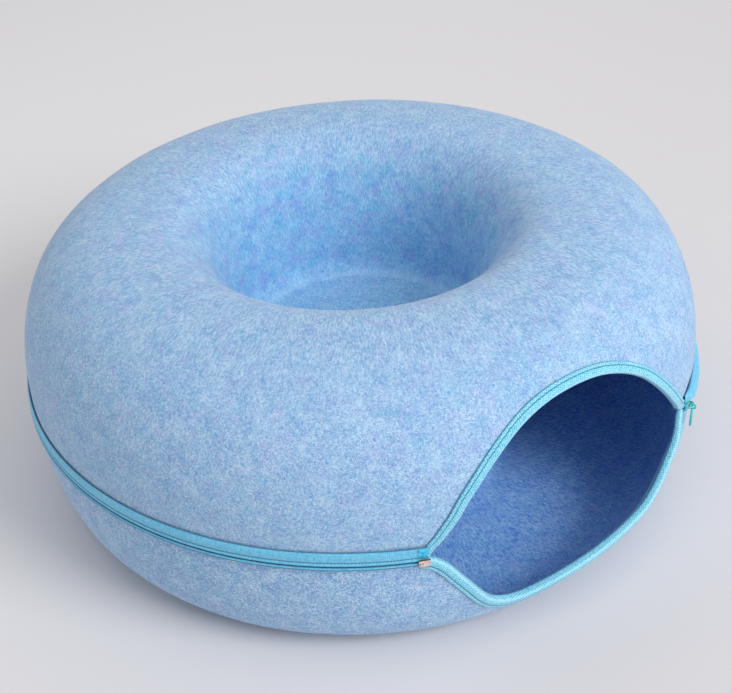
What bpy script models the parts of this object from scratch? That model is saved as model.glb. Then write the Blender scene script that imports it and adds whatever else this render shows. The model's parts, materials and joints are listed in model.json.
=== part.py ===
"""Donut cat tunnel: two moulded felt half shells zipped together round the rim, with an eye-shaped doorway.

Lengths are in metres and +Z is up. The origin lies on the floor under the middle of the ring, and the
doorway faces -Y. The lower half stands on the floor. The upper half lifts off it, the slider runs
round the rim, and the puller swings on the slider's crown.
"""

import math

import bmesh
import bpy
import numpy as np
from mathutils import Matrix, Vector

# Felt shells: radii from the middle of the ring, heights above the floor
shell_radius = 0.300
shell_height = 0.250
felt_thickness = 0.005
widest_height = 0.1227
crest_radius = 0.1855
well_radius = 0.112
well_floor_radius = 0.0974
well_floor_height = 0.118
foot_outer_radius = 0.238
foot_inner_radius = 0.150
top_corner_exponent = 2.58
bottom_corner_exponent = 2.64
well_corner_exponent = 2.53
turn_steps = 48
quarter_steps = 10
fillet_steps = 3
weld_distance = 0.0001

# Zip line round the rim
zip_height = 0.1145
felt_setback = 0.0033
parting_gap = 0.001
tape_thickness = 0.0006
tape_gap = 0.0005
upper_tape_width = 0.0120
lower_tape_width = 0.0145
tape_end_setback = 0.0015
coil_depth = 0.0017
coil_height = 0.0016
ring_steps = 96
seat_gap = 0.0003

# Doorway: an eye-shaped outline on the felt, given by its corners on the zip line and its reach
# along the felt above and below that line
door_half_angle = math.radians(27.25)
door_centre_angle = math.radians(-90.0)
door_upper_reach = 0.1051
door_lower_reach = 0.0755
upper_edge_shares = (
    (-1.0, 0.0), (-0.985, 0.062), (-0.93, 0.152), (-0.85, 0.303), (-0.76, 0.492), (-0.61, 0.716),
    (-0.44, 0.882), (-0.25, 0.974), (-0.04, 1.0), (0.16, 0.969), (0.33, 0.882), (0.47, 0.756),
    (0.58, 0.602), (0.69, 0.424), (0.86, 0.147), (1.0, 0.0),
)
lower_edge_shares = (
    (-1.0, 0.0), (-0.962, 0.03), (-0.902, 0.139), (-0.841, 0.305), (-0.779, 0.477), (-0.722, 0.64),
    (-0.674, 0.775), (-0.611, 0.897), (-0.526, 0.98), (-0.44, 1.0), (-0.36, 0.98), (-0.22, 0.925),
    (-0.05, 0.861), (0.12, 0.8), (0.3, 0.735), (0.48, 0.662), (0.65, 0.56), (0.8, 0.403),
    (0.92, 0.209), (1.0, 0.0),
)
edge_steps = 42
edge_samples = 12
door_cut_overrun = 0.012
door_cut_reach = 0.150

# Binding folded over the doorway's felt edges
binding_thickness = 0.001
binding_gap = 0.0006
binding_width = 0.009
upper_binding_overrun = 0.007
lower_binding_overrun = 0.0015

# Stitching
thread_thickness = 0.0005
binding_seam_inset = 0.003
upper_tape_seam_rise = 0.0043
lower_tape_seam_drop = 0.011

# Retainer box and pin of the separating zip, at the doorway's left corner
box_length = 0.0082
box_height = 0.0074
box_wall = 0.0008
pin_length = 0.0060
film_length = 0.0080
film_thickness = 0.0002

# Slider, crown and puller, resting at the doorway's right corner
slider_length = 0.0135
slider_height = 0.0072
slider_plate = 0.0012
slider_corner = 0.0018
corner_segments = 3
slider_gap = 0.0006
back_plate_length = 0.0120
back_plate_height = 0.0042
back_plate_thickness = 0.001
neck_length = 0.004
neck_thickness = 0.0005
crown_length = 0.009
crown_bar_radius = 0.00075
crown_rise = 0.0039
puller_eye_radius = 0.00265
puller_eye_steps = 20
puller_wire_radius = 0.00075
puller_wire_sides = 8
puller_drop = 0.0008
puller_length = 0.024
puller_width = 0.005
puller_thickness = 0.0016
puller_corner = 0.0006
stop_length = 0.0018

# Hook and loop discs between the two halves' middles
grip_disc_radius = 0.050
grip_disc_thickness = 0.00135
disc_steps = 40

# Sizes that follow from those above
upper_felt_base = zip_height + felt_setback
lower_felt_top = zip_height - felt_setback
plateau_height = well_floor_height - felt_thickness - 2 * grip_disc_thickness - 3 * seat_gap
tape_radius = shell_radius + binding_gap + binding_thickness + tape_gap
tape_face_radius = tape_radius + tape_thickness
coil_outer_radius = tape_radius - seat_gap
coil_inner_radius = coil_outer_radius - coil_depth
half_parting = parting_gap / 2
thread_face_radius = tape_face_radius + seat_gap
right_corner_angle = door_centre_angle + door_half_angle
left_corner_angle = door_centre_angle - door_half_angle + math.tau
tape_start_angle = right_corner_angle + tape_end_setback / tape_radius
tape_end_angle = left_corner_angle - tape_end_setback / tape_radius
coil_start_angle = tape_start_angle + (stop_length + seat_gap) / tape_radius
coil_end_angle = tape_end_angle - (pin_length + seat_gap) / tape_radius
slider_rest_angle = tape_start_angle + slider_length / 2 / tape_radius
slider_face_radius = tape_face_radius + slider_gap + slider_plate
crown_axis_radius = slider_face_radius + crown_rise

FELT_BLUE = (0.30, 0.47, 0.72)
TRIM_CYAN = (0.15, 0.49, 0.68)
THREAD_TEAL = (0.05, 0.36, 0.50)
FILM_BLUE = (0.06, 0.30, 0.62)
COPPER = (0.62, 0.38, 0.28)
PULLER_TEAL = (0.05, 0.55, 0.58)
NYLON_BLUE = (0.20, 0.50, 0.75)
FABRIC_ROUGHNESS = 0.9
PLASTIC_ROUGHNESS = 0.35
METAL_ROUGHNESS = 0.3

for leftover in list(bpy.data.objects):
    bpy.data.objects.remove(leftover)

parts = bpy.data.collections.new("donut_cat_tunnel")
cutters = bpy.data.collections.new("cutters")
bpy.context.scene.collection.children.link(parts)
bpy.context.scene.collection.children.link(cutters)


def principled(name, colour, roughness, metallic=0.0):
    material = bpy.data.materials.new(name)
    material.use_nodes = True
    shader = material.node_tree.nodes["Principled BSDF"]
    shader.inputs["Base Color"].default_value = (*colour, 1.0)
    shader.inputs["Roughness"].default_value = roughness
    shader.inputs["Metallic"].default_value = metallic
    return material


def empty(name, location, turn=0.0, parent=None):
    pivot = bpy.data.objects.new(name, None)
    parts.objects.link(pivot)
    pivot.location = location
    pivot.rotation_euler = (0.0, 0.0, turn)
    pivot.parent = parent
    return pivot


def part(name, mesh, parent, colour, roughness=FABRIC_ROUGHNESS, metallic=0.0):
    piece = bpy.data.objects.new(name, mesh)
    parts.objects.link(piece)
    piece.parent = parent
    piece.data.materials.append(principled(name + "_finish", colour, roughness, metallic))
    return piece


def helper(name, mesh, parent=None):
    piece = bpy.data.objects.new(name, mesh)
    cutters.objects.link(piece)
    piece.parent = parent
    piece.hide_render = True
    piece.display_type = "WIRE"
    return piece


def boolean(piece, other, operation):
    modifier = piece.modifiers.new(f"{operation.lower()}_{other.name}", "BOOLEAN")
    modifier.operation = operation
    modifier.solver = "EXACT"
    modifier.object = other


def mesh_from(name, bm, smooth=False):
    bmesh.ops.recalc_face_normals(bm, faces=bm.faces)
    mesh = bpy.data.meshes.new(name)
    bm.to_mesh(mesh)
    bm.free()
    if smooth:
        mesh.shade_smooth()
    return mesh


def block_mesh(name, low, high, corner=0.0):
    """A block between two opposite corners, with its four edges along X rounded if a corner is given."""
    low, high = Vector(low), Vector(high)
    bm = bmesh.new()
    place = Matrix.Translation((low + high) / 2) @ Matrix.Diagonal((*(high - low), 1.0))
    bmesh.ops.create_cube(bm, size=1.0, matrix=place)
    if corner:
        along_x = [edge for edge in bm.edges if edge.verts[0].co.yz == edge.verts[1].co.yz]
        bmesh.ops.bevel(
            bm, geom=along_x, offset=corner, segments=corner_segments,
            profile=0.5, affect="EDGES", material=-1,
        )
    return mesh_from(name, bm)


def superellipse_quarter(exponent, start_share, steps):
    """Run and rise shares of a rounded quarter, from its side, with a rise of start_share, to its top."""
    start = math.asin(start_share ** (exponent / 2))
    for turn in np.linspace(start, math.pi / 2, steps + 1):
        yield max(math.cos(turn), 0.0) ** (2 / exponent), math.sin(turn) ** (2 / exponent)


def well_profile(rim_radius, rim_height, floor_height):
    """The well's wall from the edge of its flat floor, up a fillet, to the rim that it curls over."""
    fillet = well_radius - well_floor_radius
    side = 1 if rim_height > floor_height else -1
    points = []
    for turn in np.linspace(0, math.pi / 2, fillet_steps + 1)[:-1]:
        radius = well_floor_radius + fillet * math.sin(turn)
        points.append((radius, floor_height + side * fillet * (1 - math.cos(turn))))
    rise = rim_height - floor_height
    start_share = fillet / abs(rise)
    for run_share, rise_share in superellipse_quarter(well_corner_exponent, start_share, quarter_steps - 2):
        radius = rim_radius - (rim_radius - well_radius) * run_share
        points.append((radius, floor_height + rise * rise_share))
    return points


def side_radius(height):
    """The felt's outer radius at a height on its side, below or above its widest height."""
    if height < widest_height:
        inner, span, exponent = foot_outer_radius, widest_height, bottom_corner_exponent
    else:
        inner, span, exponent = crest_radius, shell_height - widest_height, top_corner_exponent
    rise_share = abs(height - widest_height) / span
    return inner + (shell_radius - inner) * max(1 - rise_share**exponent, 0.0) ** (1 / exponent)


def side_between(low, high):
    """The outer side's outline from a low height up to a high one."""
    points = [(side_radius(low), low)]
    quarters = (
        (bottom_corner_exponent, -widest_height, reversed(range(quarter_steps))),
        (top_corner_exponent, shell_height - widest_height, range(1, quarter_steps)),
    )
    for exponent, span, steps in quarters:
        for step in steps:
            height = widest_height + span * math.sin(math.pi / 2 * step / quarter_steps) ** (2 / exponent)
            if low < height < high:
                points.append((side_radius(height), height))
    return [*points, (side_radius(high), high)]


def miter_normals(points):
    """For each point of an outline, the step that moves both of its edges out by one, to their left."""
    points = np.array(points)
    edges = np.diff(points, axis=0)
    edges /= np.linalg.norm(edges, axis=1)[:, None]
    sides = np.c_[-edges[:, 1], edges[:, 0]]
    before, after = np.vstack([sides[:1], sides]), np.vstack([sides, sides[-1:]])
    return (before + after) / (1 + (before * after).sum(axis=1))[:, None]


def felt_shell(name, outside, parent):
    """A turned felt shell, its outside running from the middle of its flat floor to the zip line."""
    outside = [(0.0, outside[0][1]), *outside]
    runs_down = outside[-1][1] < outside[-2][1]
    normals = miter_normals(outside) * (1 if runs_down else -1)
    normals[0] = (0.0, normals[0][1])
    normals[-1] = (normals[-1][0] / abs(normals[-1][0]), 0.0)
    inside = np.array(outside) - felt_thickness * normals
    points = [*map(tuple, outside), *map(tuple, inside[::-1])]
    if not runs_down:
        points.reverse()
    bm = bmesh.new()
    corners = [bm.verts.new((radius, 0.0, height)) for radius, height in points]
    for first, second in zip(corners, corners[1:]):
        bm.edges.new((first, second))
    mesh = bpy.data.meshes.new(name)
    bm.to_mesh(mesh)
    bm.free()
    shell = part(name, mesh, parent, FELT_BLUE)
    turn = shell.modifiers.new("turn", "SCREW")
    turn.steps = turn.render_steps = turn_steps
    turn.use_merge_vertices = True
    turn.merge_threshold = weld_distance
    boolean(shell, door_cutter, "DIFFERENCE")
    return shell


# The outer side as one outline from foot to crest, which the doorway's outline is laid on
side_points = np.array(side_between(0.0, lower_felt_top) + side_between(upper_felt_base, shell_height))
side_normals = -miter_normals(side_points)
side_lengths = np.r_[0.0, np.cumsum(np.linalg.norm(np.diff(side_points, axis=0), axis=1))]
zip_length = float(np.interp(zip_height, side_points[:, 1], side_lengths))


def felt_point(angle, along, out):
    """The place on the felt's flat-sided outer face, at a length above the zip line, moved out from it."""
    length = zip_length + along
    radius, height, out_radius, out_height = (
        float(np.interp(length, side_lengths, column)) for column in (*side_points.T, *side_normals.T)
    )
    facet = math.tau / turn_steps
    flat_share = math.cos(facet / 2) / math.cos(angle % facet - facet / 2)
    radius = (radius + out * out_radius) * flat_share
    return Vector((radius * math.cos(angle), radius * math.sin(angle), height + out * out_height))


def smooth_through(points, steps):
    """A smooth curve through points, as that many even runs, by the Catmull-Rom rule."""
    points = np.array(points)
    framed = np.vstack([2 * points[0] - points[1], points, 2 * points[-1] - points[-2]])
    dense = []
    for before, first, second, after in zip(framed, framed[1:], framed[2:], framed[3:]):
        slope = second - before
        bend = 2 * before - 5 * first + 4 * second - after
        twist = 3 * first - before - 3 * second + after
        for share in np.linspace(0, 1, edge_samples, endpoint=False):
            dense.append(first + (slope * share + bend * share**2 + twist * share**3) / 2)
    dense = np.array([*dense, points[-1]])
    lengths = np.r_[0.0, np.cumsum(np.linalg.norm(np.diff(dense, axis=0), axis=1))]
    even = np.linspace(0, lengths[-1], steps + 1)
    return np.c_[np.interp(even, lengths, dense[:, 0]), np.interp(even, lengths, dense[:, 1])]


def door_edge(upper):
    """The doorway's clear edge as (length round the rim, length along the felt), and its ways there."""
    if upper:
        shares, reach = upper_edge_shares, door_upper_reach
    else:
        shares, reach = lower_edge_shares, -door_lower_reach
    half_width = shell_radius * door_half_angle
    edge = smooth_through([(share * half_width, rise * reach) for share, rise in shares], edge_steps)
    ways = np.gradient(edge, axis=0)
    ways /= np.linalg.norm(ways, axis=1)[:, None]
    outward = np.c_[-ways[:, 1], ways[:, 0]] * (1 if upper else -1)
    return edge, ways, outward


def on_felt(place, out):
    return felt_point(door_centre_angle + place[0] / shell_radius, place[1], out)


def door_cutter_mesh():
    """A plug through the doorway, its sides square to the felt, with pointed ends clear of both faces."""
    outline = []
    for upper in (True, False):
        edge, ways, outward = door_edge(upper)
        grown = edge + (binding_thickness + binding_gap) * outward
        outline.extend(grown if upper else grown[::-1])
    bm = bmesh.new()
    loops = []
    for out in (door_cut_overrun, -felt_thickness - door_cut_overrun):
        loops.append([bm.verts.new(on_felt(place, out)) for place in outline])
    across = Vector((math.cos(door_centre_angle), math.sin(door_centre_angle), 0.0))
    for loop, reach in zip(loops, (door_cut_reach, -door_cut_reach)):
        tip = bm.verts.new(across * (shell_radius + reach) + Vector((0.0, 0.0, zip_height)))
        for first, second in zip(loop, loop[1:] + loop[:1]):
            bm.faces.new((first, second, tip))
    for i, first in enumerate(loops[0]):
        j = (i + 1) % len(loops[0])
        bm.faces.new((first, loops[0][j], loops[1][j], loops[1][i]))
    return mesh_from("door_cutter", bm)


def edge_sweep(name, upper, section, overrun):
    """A strip along the doorway's edge, its section in distances from the clear edge and off the felt."""
    edge, ways, outward = door_edge(upper)
    edge = np.vstack([edge[0] - overrun * ways[0], edge, edge[-1] + overrun * ways[-1]])
    outward = np.vstack([outward[0], outward, outward[-1]])
    bm = bmesh.new()
    loops = []
    for place, way in zip(edge, outward):
        loops.append([bm.verts.new(on_felt(place + across * way, out)) for across, out in section])
    for first, second in zip(loops, loops[1:]):
        for i in range(len(section)):
            j = (i + 1) % len(section)
            bm.faces.new((first[i], first[j], second[j], second[i]))
    bm.faces.new(loops[0])
    bm.faces.new(loops[-1])
    return mesh_from(name, bm, smooth=True)


def ring_band(name, section, start, end):
    """Part of a turned ring between two angles, from a section of (radius, height) points."""
    bm = bmesh.new()
    corners = [(radius * math.cos(start), radius * math.sin(start), height) for radius, height in section]
    face = bm.faces.new([bm.verts.new(corner) for corner in corners])
    steps = math.ceil((end - start) / (math.tau / ring_steps))
    bmesh.ops.spin(
        bm, geom=[face, *face.edges, *face.verts],
        cent=(0, 0, 0), axis=(0, 0, 1), angle=end - start, steps=steps,
    )
    return mesh_from(name, bm)


def rectangle(inner, outer, low, high):
    """A section with its inner and outer radius and its low and high height."""
    return [(inner, low), (outer, low), (outer, high), (inner, high)]


# Pivots: the lower half is the ground, the others move on it
lower_half = empty("lower_half", (0, 0, 0))
upper_half = empty("upper_half", (0, 0, 0), parent=lower_half)
slider_pivot = empty("slider_pivot", (0, 0, zip_height), turn=slider_rest_angle, parent=lower_half)
puller_pivot = empty("puller_pivot", (crown_axis_radius, 0, 0), parent=slider_pivot)
box_place = empty("box_place", (0, 0, zip_height), turn=left_corner_angle, parent=lower_half)
pin_place = empty("pin_place", (0, 0, zip_height), turn=left_corner_angle, parent=upper_half)

door_cutter = helper("door_cutter", door_cutter_mesh())
trim_reach = shell_radius + 2 * door_cut_overrun


def trim_block(name, low_height, high_height):
    """A block across the whole rim, which trims what it crosses to flat ends at those heights."""
    low = (-trim_reach, -trim_reach, low_height)
    return helper(name, block_mesh(name, low, (trim_reach, trim_reach, high_height)))


trim_depth = 2 * felt_setback + upper_binding_overrun
upper_trim = trim_block("upper_trim", upper_felt_base - trim_depth, upper_felt_base)
lower_trim = trim_block("lower_trim", lower_felt_top, lower_felt_top + trim_depth)
upper_tape_top = zip_height + half_parting + upper_tape_width
upper_seam_trim = trim_block("upper_seam_trim", upper_felt_base - trim_depth, upper_tape_top + seat_gap)
lower_seam_trim = trim_block("lower_seam_trim", lower_felt_top - seat_gap, lower_felt_top + trim_depth)

# Felt shells
upper_side = side_between(upper_felt_base, shell_height)[-2::-1]
upper_outside = well_profile(crest_radius, shell_height, well_floor_height) + upper_side
felt_shell("upper_shell", upper_outside, upper_half)
hollow_ceiling = plateau_height - felt_thickness
lower_side = side_between(0.0, lower_felt_top)
lower_outside = well_profile(foot_inner_radius, 0.0, hollow_ceiling) + lower_side
felt_shell("lower_shell", lower_outside, lower_half)

# Bindings and their stitching
outer_face = binding_gap + binding_thickness
inner_face = -felt_thickness - outer_face
binding_section = [
    (binding_width, binding_gap),
    (binding_width, outer_face),
    (binding_thickness, outer_face),
    (0.0, binding_gap),
    (0.0, inner_face + binding_thickness),
    (binding_thickness, inner_face),
    (binding_width, inner_face),
    (binding_width, inner_face + binding_thickness),
    (binding_thickness, inner_face + binding_thickness),
    (binding_thickness, binding_gap),
]
seam_place = binding_width - binding_seam_inset
thread_base = outer_face + seat_gap
seam_section = [
    (seam_place - thread_thickness / 2, thread_base),
    (seam_place + thread_thickness / 2, thread_base),
    (seam_place + thread_thickness / 2, thread_base + thread_thickness),
    (seam_place - thread_thickness / 2, thread_base + thread_thickness),
]
for side, parent, overrun, trim, seam_trim in (
    ("upper", upper_half, upper_binding_overrun, upper_trim, upper_seam_trim),
    ("lower", lower_half, lower_binding_overrun, lower_trim, lower_seam_trim),
):
    upper = side == "upper"
    binding_name, seam_name = f"{side}_door_binding", f"{side}_binding_seam"
    binding_mesh = edge_sweep(binding_name, upper, binding_section, overrun)
    boolean(part(binding_name, binding_mesh, parent, TRIM_CYAN), trim, "DIFFERENCE")
    seam_mesh = edge_sweep(seam_name, upper, seam_section, overrun)
    boolean(part(seam_name, seam_mesh, parent, THREAD_TEAL), seam_trim, "DIFFERENCE")

# Zip tapes: the upper one is sewn over the felt, the lower one turns in over the felt's top edge
upper_tape_base = zip_height + half_parting
lower_tape_top = zip_height - half_parting
upper_tape_section = rectangle(tape_radius, tape_face_radius, upper_tape_base, upper_tape_top)
upper_tape_mesh = ring_band("upper_zip_tape", upper_tape_section, tape_start_angle, tape_end_angle)
part("upper_zip_tape", upper_tape_mesh, upper_half, TRIM_CYAN)
turn_in_base = lower_felt_top + seat_gap
turn_in_top = turn_in_base + tape_thickness
leg_base = lower_tape_top - lower_tape_width
side_radius_there = float(np.interp(leg_base, side_points[:, 1], side_points[:, 0]))
leg_outer_radius = (side_radius_there + inner_face) * math.cos(math.pi / turn_steps) - tape_gap
leg_inner_radius = leg_outer_radius - tape_thickness
lower_tape_section = [
    (tape_radius, lower_tape_top),
    (tape_radius, turn_in_top),
    (leg_inner_radius, turn_in_top),
    (leg_inner_radius, leg_base),
    (leg_outer_radius, leg_base),
    (leg_outer_radius, turn_in_base),
    (tape_face_radius, turn_in_base),
    (tape_face_radius, lower_tape_top),
]
lower_tape_mesh = ring_band("lower_zip_tape", lower_tape_section, tape_start_angle, tape_end_angle)
part("lower_zip_tape", lower_tape_mesh, lower_half, TRIM_CYAN)

# Zip coils behind the tapes
for coil_name, low, parent in (
    ("upper_zip_coil", upper_tape_base, upper_half),
    ("lower_zip_coil", lower_tape_top - coil_height, lower_half),
):
    coil_section = rectangle(coil_inner_radius, coil_outer_radius, low, low + coil_height)
    coil_mesh = ring_band(coil_name, coil_section, coil_start_angle, coil_end_angle)
    part(coil_name, coil_mesh, parent, NYLON_BLUE, PLASTIC_ROUGHNESS)

# Stitching of the tapes
upper_seam_height = zip_height + upper_tape_seam_rise
upper_seam_section = rectangle(
    thread_face_radius, thread_face_radius + thread_thickness,
    upper_seam_height - thread_thickness / 2, upper_seam_height + thread_thickness / 2,
)
film_start_angle = left_corner_angle - (film_length + tape_end_setback) / tape_radius
seam_end_angle = film_start_angle - seat_gap / tape_radius
upper_seam_mesh = ring_band("upper_tape_seam", upper_seam_section, tape_start_angle, seam_end_angle)
part("upper_tape_seam", upper_seam_mesh, upper_half, THREAD_TEAL)
lower_seam_height = zip_height - lower_tape_seam_drop
lower_seam_section = rectangle(
    leg_inner_radius - seat_gap - thread_thickness, leg_inner_radius - seat_gap,
    lower_seam_height - thread_thickness / 2, lower_seam_height + thread_thickness / 2,
)
lower_seam_mesh = ring_band("lower_tape_seam", lower_seam_section, tape_start_angle, tape_end_angle)
part("lower_tape_seam", lower_seam_mesh, lower_half, THREAD_TEAL)

# Films that stiffen the tapes' ends at the retainer box
film_radius = tape_face_radius + seat_gap
film_low = zip_height + box_height / 2 + seat_gap
film_high = upper_tape_top - seat_gap
upper_film_section = rectangle(film_radius, film_radius + film_thickness, film_low, film_high)
upper_film_mesh = ring_band("upper_tape_end_film", upper_film_section, film_start_angle, tape_end_angle)
part("upper_tape_end_film", upper_film_mesh, upper_half, FILM_BLUE, PLASTIC_ROUGHNESS)
lower_film_section = rectangle(film_radius, film_radius + film_thickness, turn_in_base, lower_tape_top)
lower_film_mesh = ring_band("lower_tape_end_film", lower_film_section, film_start_angle, tape_end_angle)
part("lower_tape_end_film", lower_film_mesh, lower_half, FILM_BLUE, PLASTIC_ROUGHNESS)

# Top stops at the right corner, in line with the coils
stop_end_angle = tape_start_angle + stop_length / tape_radius
for stop_name, low, parent in (
    ("upper_top_stop", upper_tape_base, upper_half),
    ("lower_top_stop", lower_tape_top - coil_height, lower_half),
):
    stop_section = rectangle(coil_inner_radius, coil_outer_radius, low, low + coil_height)
    stop_mesh = ring_band(stop_name, stop_section, tape_start_angle, stop_end_angle)
    part(stop_name, stop_mesh, parent, COPPER, METAL_ROUGHNESS, 1.0)

# Retainer box: a front plate and a back plate joined beyond the tapes' ends, open at the top for the pin
box_front = film_radius + film_thickness + seat_gap
box_back = coil_inner_radius - slider_gap
box_start = (tape_end_setback - box_wall) / 2
back_low, back_high = -back_plate_height / 2, back_plate_height / 2
box_front_mesh = block_mesh(
    "retainer_box",
    (box_front, -box_start - box_length, -box_height / 2),
    (box_front + box_wall, -box_start, box_height / 2),
)
retainer_box = part("retainer_box", box_front_mesh, box_place, COPPER, METAL_ROUGHNESS, 1.0)
box_end_wall = helper("box_end_wall", block_mesh(
    "box_end_wall",
    (box_back - box_wall, -box_start - box_wall, back_low), (box_front + box_wall / 2, -box_start, back_high),
), box_place)
box_back_plate = helper("box_back_plate", block_mesh(
    "box_back_plate",
    (box_back - box_wall, -box_start - box_length, back_low),
    (box_back, -box_start - box_wall / 2, back_high),
), box_place)
boolean(box_end_wall, box_back_plate, "UNION")
boolean(retainer_box, box_end_wall, "UNION")

# Insert pin at the end of the upper coil
pin_mesh = block_mesh(
    "insert_pin",
    (coil_inner_radius, -tape_end_setback - pin_length, half_parting),
    (coil_outer_radius, -tape_end_setback, half_parting + coil_height),
)
part("insert_pin", pin_mesh, pin_place, COPPER, METAL_ROUGHNESS, 1.0)

# Slider body: front and back plates joined by a neck that runs between the two coils
front_low = (slider_face_radius - slider_plate, -slider_length / 2, -slider_height / 2)
front_high = (slider_face_radius, slider_length / 2, slider_height / 2)
slider_body = part(
    "slider_body", block_mesh("slider_body", front_low, front_high, slider_corner), slider_pivot,
    PULLER_TEAL, PLASTIC_ROUGHNESS,
)
back_face = coil_inner_radius - slider_gap
slider_neck = helper("slider_neck", block_mesh(
    "slider_neck",
    (back_face - back_plate_thickness / 2, -back_plate_length / 2, -neck_thickness / 2),
    (slider_face_radius - slider_plate / 2, -back_plate_length / 2 + neck_length, neck_thickness / 2),
), slider_pivot)
slider_back = helper("slider_back", block_mesh(
    "slider_back",
    (back_face - back_plate_thickness, -back_plate_length / 2, back_low),
    (back_face, back_plate_length / 2, back_high),
), slider_pivot)
boolean(slider_neck, slider_back, "UNION")
boolean(slider_body, slider_neck, "UNION")

# Crown: a bent bar on the slider's face, which the puller's eye hangs on
crown_foot = slider_face_radius + seat_gap
crown_half = crown_length / 2
crown_curve = bpy.data.curves.new("slider_crown", "CURVE")
crown_curve.dimensions = "3D"
crown_curve.bevel_depth = crown_bar_radius
crown_curve.bevel_resolution = 2
crown_curve.use_fill_caps = True
bend = crown_bar_radius * 2
crown_route = (
    (crown_foot, -crown_half),
    (crown_axis_radius - bend, -crown_half),
    (crown_axis_radius, -crown_half + bend),
    (crown_axis_radius, crown_half - bend),
    (crown_axis_radius - bend, crown_half),
    (crown_foot, crown_half),
)
spline = crown_curve.splines.new("POLY")
spline.points.add(len(crown_route) - 1)
for point, (radius, side) in zip(spline.points, crown_route):
    point.co = (radius, side, 0.0, 1.0)
part("slider_crown", crown_curve, slider_pivot, PULLER_TEAL, PLASTIC_ROUGHNESS)

# Puller: an eye round the crown's bar and a flat tongue that hangs from it
tongue_top = -puller_drop - puller_eye_radius + puller_wire_radius / 2
tongue_base = puller_eye_radius + puller_wire_radius - puller_drop - puller_length
tongue_mesh = block_mesh(
    "puller",
    (-puller_thickness / 2, -puller_width / 2, tongue_base),
    (puller_thickness / 2, puller_width / 2, tongue_top),
    puller_corner,
)
puller = part("puller", tongue_mesh, puller_pivot, PULLER_TEAL, PLASTIC_ROUGHNESS)
bpy.ops.mesh.primitive_torus_add(
    major_radius=puller_eye_radius, minor_radius=puller_wire_radius,
    major_segments=puller_eye_steps, minor_segments=puller_wire_sides,
    location=(0.0, 0.0, -puller_drop), rotation=(math.pi / 2, 0.0, 0.0),
)
puller_eye = bpy.context.active_object
puller_eye.name = "puller_eye"
for holder in list(puller_eye.users_collection):
    holder.objects.unlink(puller_eye)
cutters.objects.link(puller_eye)
puller_eye.parent = puller_pivot
puller_eye.hide_render = True
puller_eye.display_type = "WIRE"
boolean(puller, puller_eye, "UNION")

# Hook and loop discs, one on each half, face to face
disc_heights = (
    ("hook_disc", plateau_height + seat_gap, lower_half),
    ("loop_disc", plateau_height + grip_disc_thickness + 2 * seat_gap, upper_half),
)
for disc_name, base, parent in disc_heights:
    bm = bmesh.new()
    lift = Matrix.Translation((0.0, 0.0, base + grip_disc_thickness / 2))
    bmesh.ops.create_cone(
        bm, cap_ends=True, segments=disc_steps, radius1=grip_disc_radius, radius2=grip_disc_radius,
        depth=grip_disc_thickness, matrix=lift,
    )
    part(disc_name, mesh_from(disc_name, bm), parent, NYLON_BLUE)
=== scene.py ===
"""Donut cat tunnel: its looks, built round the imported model.

Lengths are in metres and +Z is up. The doorway faces -Y. The upper half lifts off the lower one, the
slider runs round the rim, and its puller swings.
"""

import json
import math

import bmesh
import bpy
import numpy as np
from mathutils import Matrix, Quaternion, Vector, noise


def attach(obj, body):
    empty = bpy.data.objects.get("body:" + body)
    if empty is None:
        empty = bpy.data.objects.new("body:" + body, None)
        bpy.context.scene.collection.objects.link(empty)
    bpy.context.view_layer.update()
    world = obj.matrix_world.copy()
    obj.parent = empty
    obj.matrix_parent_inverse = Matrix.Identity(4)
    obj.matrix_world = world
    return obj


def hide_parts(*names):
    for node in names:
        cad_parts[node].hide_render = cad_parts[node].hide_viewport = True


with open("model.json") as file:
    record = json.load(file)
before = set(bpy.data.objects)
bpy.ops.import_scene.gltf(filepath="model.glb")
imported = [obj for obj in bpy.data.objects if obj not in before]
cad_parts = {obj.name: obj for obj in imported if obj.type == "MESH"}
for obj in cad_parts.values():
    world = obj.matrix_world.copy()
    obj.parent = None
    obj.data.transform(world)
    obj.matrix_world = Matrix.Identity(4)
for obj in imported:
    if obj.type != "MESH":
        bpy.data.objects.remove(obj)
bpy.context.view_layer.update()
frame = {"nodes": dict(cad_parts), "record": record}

# Felt shells
shell_radius = 0.300
shell_height = 0.250
felt_thickness = 0.005
widest_height = 0.1227
crest_radius = 0.1855
well_radius = 0.112
section_middle_radius = 0.206
well_floor_radius = 0.0974
well_floor_height = 0.118
foot_outer_radius = 0.238
foot_inner_radius = 0.150
hollow_ceiling = 0.1044
top_corner_exponent = 2.58
bottom_corner_exponent = 2.64
well_corner_exponent = 2.53
turn_steps = 400
side_steps = 32
floor_steps = 8
fillet_steps = 4
pressed_thickness = 0.0026
pressed_reach = 0.005
eased_reach = 0.013
swell = 0.0030
swell_angle = math.radians(-60.0)
swell_spread = math.radians(17.0)
swell_inner_radius = 0.22
swell_start = 0.003
swell_rise = 0.022
swell_end = 0.115
swell_fall = 0.05
lip_flare = 0.0058
lip_reach = 0.020
lip_rise = 0.02
lip_start_angle = math.radians(-112.0)
lip_start_spread = math.radians(34.0)
lip_end_angle = math.radians(-78.0)
lip_end_spread = math.radians(12.0)
lip_end_loss = 0.85
lip_corner_spread = math.radians(5.0)
wave_scale = 16
wave_height = 0.0004
ripple_scale = 110
ripple_height = 0.00012
calm_reach = 0.03

# Doorway's corners, on the zip line
door_half_angle = math.radians(27.25)
door_centre_angle = math.radians(-90.0)
right_corner_angle = door_centre_angle + door_half_angle
left_corner_angle = door_centre_angle - door_half_angle + math.tau
corner_gap = 0.00025
corner_slope = math.radians(40.0)

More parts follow.
